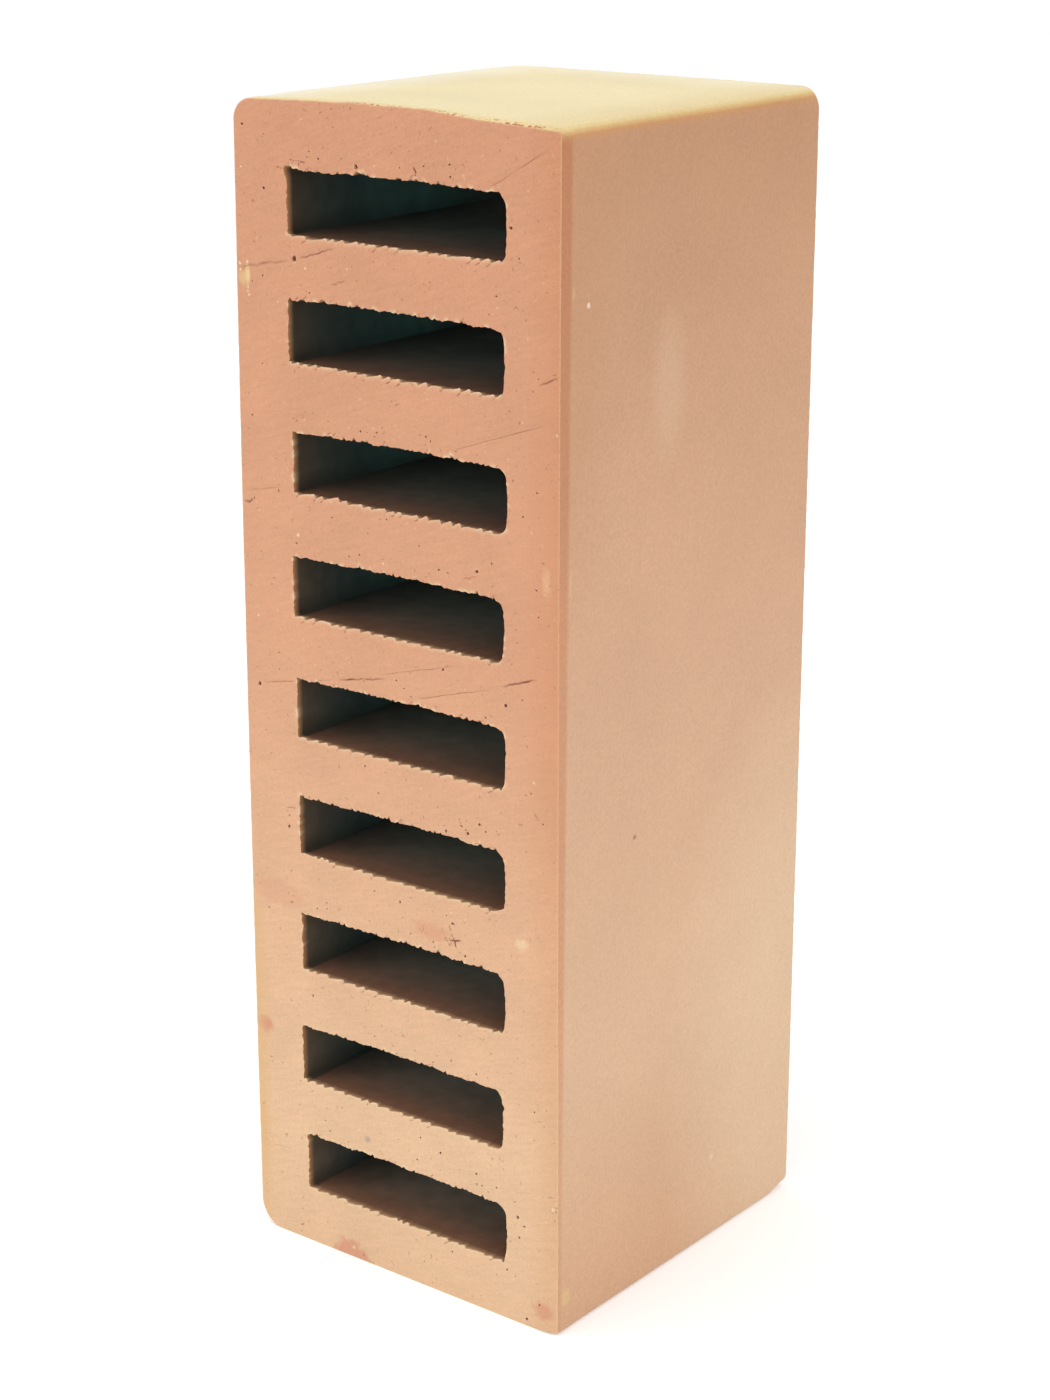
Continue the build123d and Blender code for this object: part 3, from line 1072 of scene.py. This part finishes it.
def make_skin_clay():
    """Tan clay, closed by the die, painted cream on the upper header as the light from above makes it look, and lighter
    towards the foot.
    """
    material, tree, shader, place = clay_material("die_skinned_clay")
    x, y, z = add_node(tree, "SeparateXYZ", {0: place}, out=None)
    # Painted light: lighter towards the foot, where light from the floor falls; SKIN_BASE makes the lowest five
    # centimetres darker again.
    tone = banded(tree, colour(SKIN_HEAD), z, [
        (0.245, 0.155, SKIN_MIDDLE_PAINTED_LIGHT, 1.0), (0.155, 0.065, SKIN_FOOT_PAINTED_LIGHT, 1.0), (0.052, 0.006, SKIN_BASE, 1.0)])
    # Clouds of 30 mm where hands and boards touched the wet skin. The closed grain still shows at 0.6 mm.
    cloud = mottle(tree, place, 30.0, 2.0, 0.03)
    sand = mottle(tree, place, 0.6, 3.0, 0.055)
    tone = stained(tree, place, tone, SKIN_STAINS)
    inner = add_node(tree, "MapRange", {0: z, 1: 0.030, 2: 0.240, 3: (FRONT + 1.3) * MM, 4: (FRONT + 3.0) * MM})
    outer = add_node(tree, "Math", {0: inner, 1: 1.0 * MM}, operation="ADD")
    strip = add_node(tree, "MapRange", {0: y, 1: inner, 2: outer, 3: 1.0, 4: 0.0})
    fade = add_node(tree, "MapRange", {0: z, 1: 0.004, 2: 0.070, 3: 0.4, 4: 1.0})
    strip = add_node(tree, "Math", {0: strip, 1: fade}, operation="MULTIPLY")
    tone = add_node(tree, "Mix", {0: strip, 6: tone, 7: colour(STRIP_RED)}, data_type="RGBA",
                    blend_type="MULTIPLY", out=2)
    # Painted light: the header is painted paler towards the hidden stretcher and towards the back bed.
    rear_side = add_node(tree, "MapRange", {0: x, 1: -0.020, 2: -0.037})
    far_side = add_node(tree, "MapRange", {0: y, 1: 0.026, 2: 0.044, 3: 0.0, 4: 0.6})
    pale = add_node(tree, "Math", {0: rear_side, 1: far_side}, operation="MAXIMUM")
    painted_header_light = add_node(tree, "Mix", {0: pale, 6: colour(HEADER_PAINTED_LIGHT_CREAM), 7: colour(HEADER_PAINTED_LIGHT_PALE)}, data_type="RGBA", out=2)
    # Painted light: yellow where the header rounds over to the front bed and, half as strong, to the near stretcher.
    painted_header_light = banded(tree, painted_header_light, y, [((FRONT + 3.5) * MM, (FRONT + 0.5) * MM, HEADER_PAINTED_LIGHT_YELLOW, 1.0)])
    painted_header_light = banded(tree, painted_header_light, x, [(0.026, 0.042, EDGE_PAINTED_LIGHT_YELLOW, 0.5)])
    painted_header_light = stained(tree, place, painted_header_light, HEADER_NEAR_WHITE_SPOTS)
    # Painted light: down the rounded top edge the colour turns from the header's painted cream through yellow to
    # orange.
    tone = banded(tree, tone, z, [
        (0.2470, 0.2484, EDGE_PAINTED_LIGHT_ORANGE, 1.0), (0.2482, 0.2493, EDGE_PAINTED_LIGHT_YELLOW, 1.0), (0.2491, 0.2499, painted_header_light, 1.0)])
    # Crumbs of red clay, a millimetre across, left on the header's front arris in the groups of its nibbles.
    crumbs = add_node(tree, "TexNoise", {"Vector": place, "Scale": 1 / (1.0 * MM), "Detail": 2.0})
    crumbs = add_node(tree, "MapRange", {0: crumbs, 1: 0.52, 2: 0.57})
    in_group = STRAY_CRUMBS
    for middle, reach in CRUMBS:
        away = add_node(tree, "Math", {0: x, 1: middle * MM}, operation="SUBTRACT")
        away = add_node(tree, "Math", {0: away}, operation="ABSOLUTE")
        near = add_node(tree, "MapRange", {0: away, 1: 0.6 * reach * MM, 2: reach * MM, 3: 1.0, 4: 0.0})
        in_group = add_node(tree, "Math", {0: in_group, 1: near}, operation="MAXIMUM")
    at_arris = add_node(tree, "MapRange", {0: y, 1: (FRONT + 2.2) * MM, 2: (FRONT + 0.6) * MM})
    on_top = add_node(tree, "MapRange", {0: z, 1: 0.2480, 2: 0.2488})
    for share in (in_group, at_arris, on_top):
        crumbs = add_node(tree, "Math", {0: crumbs, 1: share}, operation="MULTIPLY")
    tone = banded(tree, tone, crumbs, [(0.0, 1.0, CRUMB_RED, 1.0)])
    for shade in (cloud, sand):
        tone = add_node(tree, "VectorMath", {0: tone, "Scale": shade}, operation="SCALE")
    finish_clay(tree, shader, tone, sand, 0.0008, 0.5)
    return material


skin_clay = make_skin_clay()
print("skin:", skin_clay.name, len(skin_clay.node_tree.nodes), "nodes")

# %% [markdown]
# ### The slots' walls
#
# The shade inside the slots is painted into their walls: brown on the lower wall, and greener
# and darker at the rear end, both painted lighter again deep in. Only the first millimetre
# behind the mouth, where the wire tore the clay, has the colour of the bed, and the pale
# tips of the scales, with their painted highlight, go on round the rim.

# %% Painted shade inside the slots
WALL_MOUTH = "#B3835A"
# Painted shade of the slots' lower walls and rear ends, near the mouth and painted lighter deeper in.
SLOT_FLOOR_PAINTED_SHADE_NEAR = "#5B4030"
SLOT_FLOOR_PAINTED_SHADE_DEEP = "#60665E"
REAR_PAINTED_SHADE_NEAR = "#41382D"
REAR_PAINTED_SHADE_MIDDLE = "#445854"
REAR_PAINTED_SHADE_DEEP = "#65978E"


def make_slot_wall_painted_shade():
    """Brown-black and green-black colour, painted as the shade deep in the slots."""
    material, tree, shader, place = clay_material("slot_wall_painted_shade")
    x, y, z = add_node(tree, "SeparateXYZ", {0: place}, out=None)
    from_middle = add_node(tree, "Math", {0: y}, operation="ABSOLUTE")
    # Painted light: the walls of the slots nearer the foot are painted up to twice as light.
    painted_light_by_height = add_node(tree, "MapRange", {0: z, 1: 0.235, 2: 0.015, 3: 1.03, 4: 2.1})
    # Painted shade: the lower wall is dark brown near the mouth and painted lighter and greyer deeper in.
    tone = banded(tree, colour(SLOT_FLOOR_PAINTED_SHADE_NEAR), from_middle, [((BACK - 4.0) * MM, (BACK - 28.0) * MM, SLOT_FLOOR_PAINTED_SHADE_DEEP, 1.0)])
    tone = add_node(tree, "VectorMath", {0: tone, "Scale": painted_light_by_height}, operation="SCALE")
    # Painted shade: darker towards the rear corner, deeper than a few millimetres.
    painted_corner_shade = add_node(tree, "MapRange", {0: from_middle, 1: (BACK - 3.0) * MM, 2: (BACK - 12.0) * MM, 3: 1.0, 4: 0.5})
    painted_corner_shade = add_node(tree, "MapRange", {0: x, 1: -26.0 * MM, 2: -12.0 * MM, 3: painted_corner_shade, 4: 1.0})
    tone = add_node(tree, "VectorMath", {0: tone, "Scale": painted_corner_shade}, operation="SCALE")
    # Painted shade: the rear end is dark near the mouth and painted lighter and greener deeper in.
    rear = add_node(tree, "VectorMath", {0: colour(REAR_PAINTED_SHADE_NEAR)[:3], "Scale": painted_light_by_height}, operation="SCALE")
    rear = banded(tree, rear, from_middle, [((BACK - 3.0) * MM, (BACK - 20.0) * MM, REAR_PAINTED_SHADE_MIDDLE, 1.0),
                                            ((BACK - 20.0) * MM, (BACK - 44.0) * MM, REAR_PAINTED_SHADE_DEEP, 1.0)])
    # Painted shade: the rear end is darkest at its lower corner, where it meets the slot's floor.
    above_slot = add_node(tree, "Math", {0: z, 1: (SLOTS[0][2] - 1.0) * MM}, operation="SUBTRACT")
    above_slot = add_node(tree, "Math", {0: above_slot, 1: SLOT_PITCH * MM}, operation="MODULO")
    corner = add_node(tree, "MapRange", {0: above_slot, 1: 1.0 * MM, 2: 5.0 * MM, 3: 0.65, 4: 1.08})
    rear = add_node(tree, "VectorMath", {0: rear, "Scale": corner}, operation="SCALE")
    tone = banded(tree, tone, x, [(-0.0260, -0.0268, rear, 1.0)])
    # Soot and dust in patches of 4 mm.
    patches = mottle(tree, place, 4.0, 3.0, 0.12)
    tone = add_node(tree, "VectorMath", {0: tone, "Scale": patches}, operation="SCALE")
    tone = banded(tree, tone, from_middle, [((BACK - 1.9) * MM, (BACK - 0.3) * MM, WALL_MOUTH, 1.0)])
    # The pale rim and its painted highlight go on into the mouth.
    burr_and_highlight = add_node(tree, "Attribute", attribute_name="burr_and_highlight", out="Fac")
    tone = banded(tree, tone, burr_and_highlight, [(0.0, 1.0, BURR_CREAM_AND_HIGHLIGHT, 1.0)])
    finish_clay(tree, shader, tone, patches, 0.0006, 0.5)
    return material


wall_painted_shade = make_slot_wall_painted_shade()

for material in (bed_clay, skin_clay, wall_painted_shade):
    mesh.materials.append(material)
for face, kind in zip(mesh.polygons, clay.kinds):
    face.material_index = kind

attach(brick, "root")
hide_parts(NODE)
print("materials:", [material.name for material in mesh.materials])

# %% [markdown]
# ## Floor and light
#
# A catalogue picture has a white floor that runs up into a white wall, and soft light from
# every side. A pale world does most of it. Three wide lamps give each face its own level,
# so that a colour renders about as it is written. The floor shows the camera and
# reflections a little light of its own, which keeps it white and leaves the faint shadow.

# %% Build the studio
FLOOR_SIZE = 14.0
FLOOR_GLOW = 0.3
WORLD_LIGHT = 0.75
# Each lamp has its place in metres, its size and its power in watts.
LAMPS = {
    "left_soft_box": ((-1.1, -1.1, 0.42), 0.5, 4.5),
    "right_soft_box": ((1.5, -0.6, 0.55), 1.2, 5.5),
    "overhead_soft_box": ((-0.2, -0.3, 1.7), 1.2, 5.5),
}


def seen_straight(tree):
    """1 where the camera, a reflection or a see-through thing looks at the background, and 0 elsewhere."""
    paths = add_node(tree, "LightPath", out=None)
    seen = paths["Is Camera Ray"]
    for kind in ("Is Glossy Ray", "Is Transmission Ray"):
        seen = add_node(tree, "Math", {0: seen, 1: paths[kind]}, operation="MAXIMUM")
    return seen


def make_floor():
    """A wide pale floor under the brick."""
    half = FLOOR_SIZE / 2
    floor_mesh = bpy.data.meshes.new("studio_floor")
    floor_mesh.from_pydata([(-half, -half, 0), (half, -half, 0), (half, half, 0), (-half, half, 0)], [], [(0, 1, 2, 3)])
    material = bpy.data.materials.new("matt_white_paper")
    material.use_nodes = True
    tree = material.node_tree
    shader = tree.nodes["Principled BSDF"]
    shader.inputs["Base Color"].default_value = colour("#F7F7F7")
    shader.inputs["Roughness"].default_value = 1.0
    shader.inputs["Specular IOR Level"].default_value = 0.0
    shader.inputs["Emission Color"].default_value = (1.0, 1.0, 1.0, 1.0)
    glow = add_node(tree, "MapRange", {0: seen_straight(tree), 3: 0.0, 4: FLOOR_GLOW})
    tree.links.new(glow, shader.inputs["Emission Strength"])
    floor_mesh.materials.append(material)
    floor = bpy.data.objects.new("studio_floor", floor_mesh)
    bpy.context.scene.collection.objects.link(floor)
    return floor


def make_world():
    """Soft light from all round, seen as plain white by the camera and in reflections."""
    world = bpy.data.worlds.new("white_studio")
    bpy.context.scene.world = world
    world.use_nodes = True
    tree = world.node_tree
    strength = add_node(tree, "MapRange", {0: seen_straight(tree), 3: WORLD_LIGHT, 4: 1.0})
    background = tree.nodes["Background"]
    background.inputs["Color"].default_value = (1.0, 1.0, 1.0, 1.0)
    tree.links.new(strength, background.inputs["Strength"])


def make_lamp(name, place, size, watts):
    """A square soft box, turned to the middle of the brick."""
    data = bpy.data.lights.new(name, "AREA")
    data.shape = "SQUARE"
    data.size = size
    data.energy = watts
    lamp = bpy.data.objects.new(name, data)
    lamp.location = place
    aim = Vector((0.0, 0.0, 0.12)) - Vector(place)
    lamp.rotation_euler = aim.to_track_quat("-Z", "Y").to_euler()
    bpy.context.scene.collection.objects.link(lamp)
    return lamp


make_floor()
make_world()
for name, (place, size, watts) in LAMPS.items():
    make_lamp(name, place, size, watts)
bpy.context.scene.view_settings.view_transform = "Standard"
print("lamps:", list(LAMPS))
